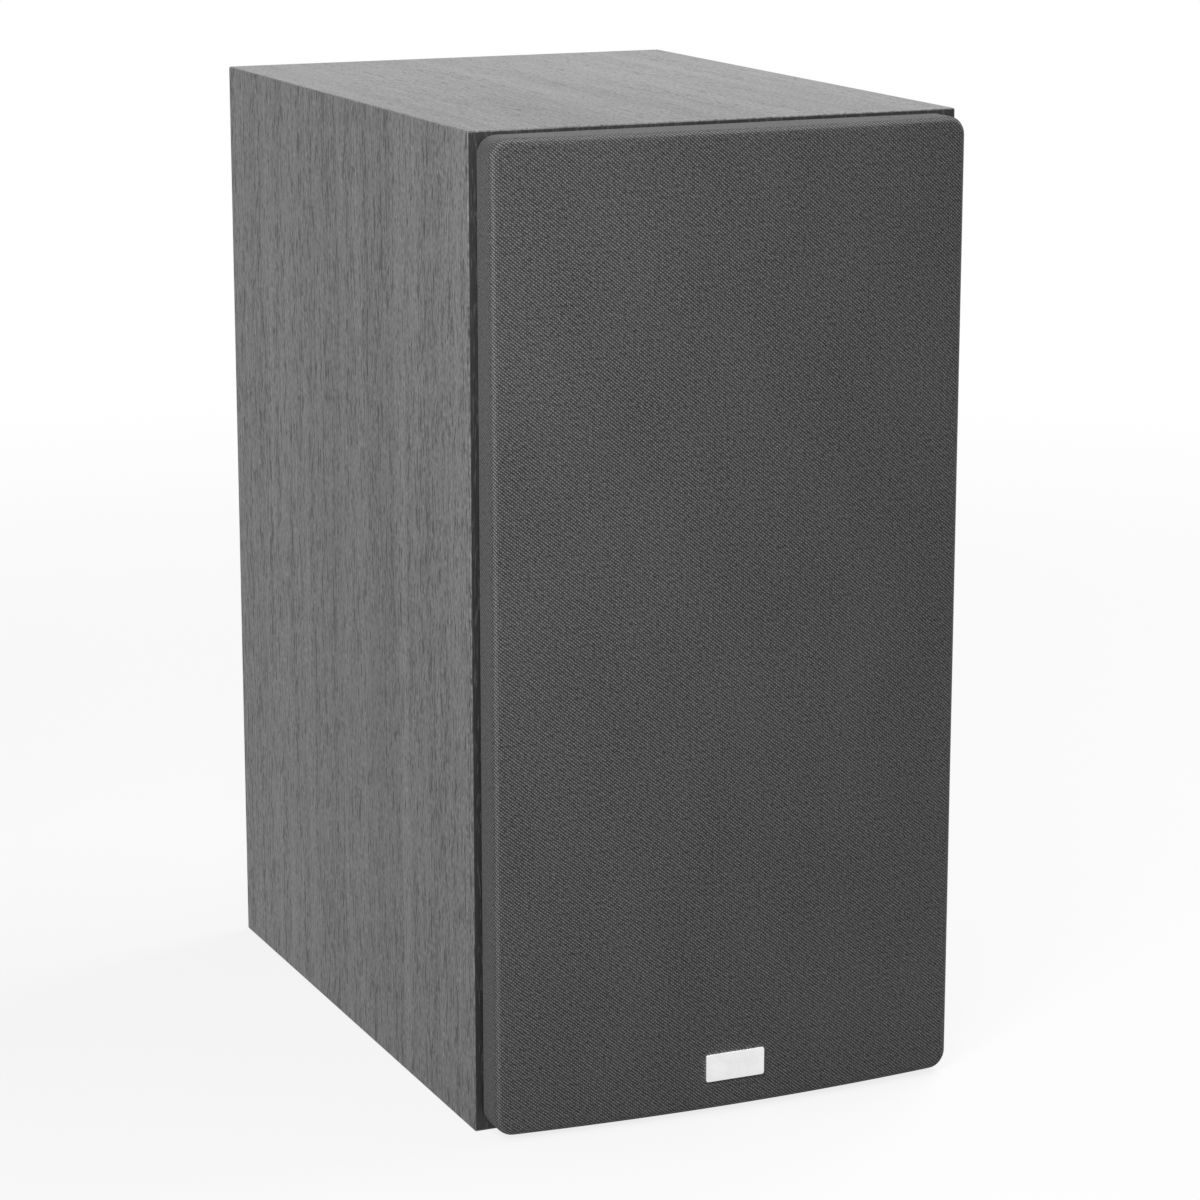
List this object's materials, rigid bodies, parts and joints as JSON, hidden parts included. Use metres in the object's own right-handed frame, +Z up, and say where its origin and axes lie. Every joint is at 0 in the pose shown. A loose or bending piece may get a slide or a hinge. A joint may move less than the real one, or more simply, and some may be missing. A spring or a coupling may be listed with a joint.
{
  "type": "bookshelf speaker",
  "caption": "Two-way bookshelf loudspeaker: wood-grain cabinet, bowed pull-off cloth grille, woofer, horn-loaded dome tweeter, slot port and rear binding posts.",
  "frame": {"origin": "centre of the cabinet's underside, without the grille", "axes": "+Z up, -Y out of the front through the grille, +X to the right of someone facing the front"},
  "size_m": [0.196, 0.2906, 0.375],
  "materials": {
    "ash_vinyl": "satin",
    "black_board": "satin",
    "raw_board": "matte",
    "grille_fabric": "matte",
    "black_plastic": "matte",
    "satin_silver": "satin",
    "basket_paint": "satin",
    "rubber": "matte",
    "foam": "matte",
    "cone_weave": "satin",
    "former_film": "satin",
    "copper": "satin",
    "spider_cloth": "matte",
    "plated_steel": "satin",
    "ferrite": "matte",
    "fibre_board": "matte",
    "tinned_brass": "satin",
    "black_screw": "satin",
    "silk": "matte",
    "gold_plate": "polished",
    "red_plastic": "gloss",
    "cap_black_plastic": "gloss",
    "circuit_board": "satin",
    "component_yellow": "gloss",
    "component_white": "matte",
    "polyester": "matte",
    "lead_red": "satin"
  },
  "bodies": {
    "cabinet": {"cabinet_left": "ash_vinyl", "cabinet_right": "ash_vinyl", "cabinet_top": "ash_vinyl", "cabinet_bottom": "ash_vinyl", "front_baffle": "black_board", "back_panel": "black_board", "window_brace": "raw_board", "wadding": "polyester", "grille_sockets": "black_plastic", "woofer_basket": "basket_paint", "woofer_gasket": "foam", "woofer_surround": "rubber", "woofer_spider": "spider_cloth", "woofer_top_plate": "plated_steel", "woofer_magnet": "ferrite", "woofer_yoke": "plated_steel", "woofer_tag_strip": "fibre_board", "woofer_tags": "tinned_brass", "woofer_screws": "black_screw", "tweeter_faceplate": "black_plastic", "tweeter_surround": "silk", "tweeter_top_plate": "plated_steel", "tweeter_magnet": "ferrite", "tweeter_yoke": "plated_steel", "tweeter_rear_cup": "black_plastic", "tweeter_tags": "tinned_brass", "tweeter_screws": "black_screw", "slot_port": "black_plastic", "terminal_cup": "black_plastic", "cup_gasket": "foam", "cup_screws": "black_screw", "binding_posts": "gold_plate", "post_nuts": "plated_steel", "solder_tags": "tinned_brass", "crossover_board": "circuit_board", "crossover_standoffs": "black_plastic", "crossover_screws": "plated_steel", "crossover_coils": "copper", "crossover_capacitors": "component_yellow", "crossover_resistors": "component_white", "input_leads": "lead_red", "tweeter_leads": "lead_red", "woofer_leads": "lead_red"},
    "grille": {"grille_cloth": "grille_fabric", "grille_frame": "black_plastic", "grille_pegs": "black_plastic", "badge": "satin_silver"},
    "woofer_diaphragm": {"woofer_cone": "cone_weave", "woofer_dust_cap": "cone_weave", "woofer_former": "former_film", "woofer_winding": "copper"},
    "tweeter_diaphragm": {"tweeter_dome": "silk", "tweeter_former": "former_film", "tweeter_winding": "copper"},
    "red_washer": {"red_clamp_ring": "gold_plate"},
    "red_nut": {"red_cap": "red_plastic", "red_cap_insert": "gold_plate"},
    "black_washer": {"black_clamp_ring": "gold_plate"},
    "black_nut": {"black_cap": "cap_black_plastic", "black_cap_insert": "gold_plate"}
  },
  "joints": [
    {"name": "grille_pull", "type": "slide", "parent": "cabinet", "child": "grille", "axis": [0, -1, 0], "range_m": [0, 0.08]},
    {"name": "woofer_stroke", "type": "slide", "parent": "cabinet", "child": "woofer_diaphragm", "axis": [0, -1, 0], "range_m": [-0.006, 0.006], "stiffness_N_per_m": 1200, "deforming": ["woofer_surround", "woofer_spider"]},
    {"name": "tweeter_stroke", "type": "slide", "parent": "cabinet", "child": "tweeter_diaphragm", "axis": [0, -1, 0], "range_m": [-0.0005, 0.0005], "stiffness_N_per_m": 3000, "deforming": ["tweeter_surround"]},
    {"name": "red_washer_slide", "type": "slide", "parent": "cabinet", "child": "red_washer", "axis": [0, 1, 0], "range_m": [0, 0.005]},
    {"name": "red_nut_turn", "type": "hinge", "parent": "red_washer", "child": "red_nut", "pos_m": [-0.00953, 0.134, 0.105], "axis": [0, 1, 0], "range_deg": [0, 1800]},
    {"name": "black_washer_slide", "type": "slide", "parent": "cabinet", "child": "black_washer", "axis": [0, 1, 0], "range_m": [0, 0.005]},
    {"name": "black_nut_turn", "type": "hinge", "parent": "black_washer", "child": "black_nut", "pos_m": [0.00953, 0.134, 0.105], "axis": [0, 1, 0], "range_deg": [0, 1800]}
  ],
  "couplings": [
    {"joint": "red_washer_slide", "follows": "red_nut_turn", "m_per_rad": 0.00015915},
    {"joint": "black_washer_slide", "follows": "black_nut_turn", "m_per_rad": 0.00015915}
  ]
}
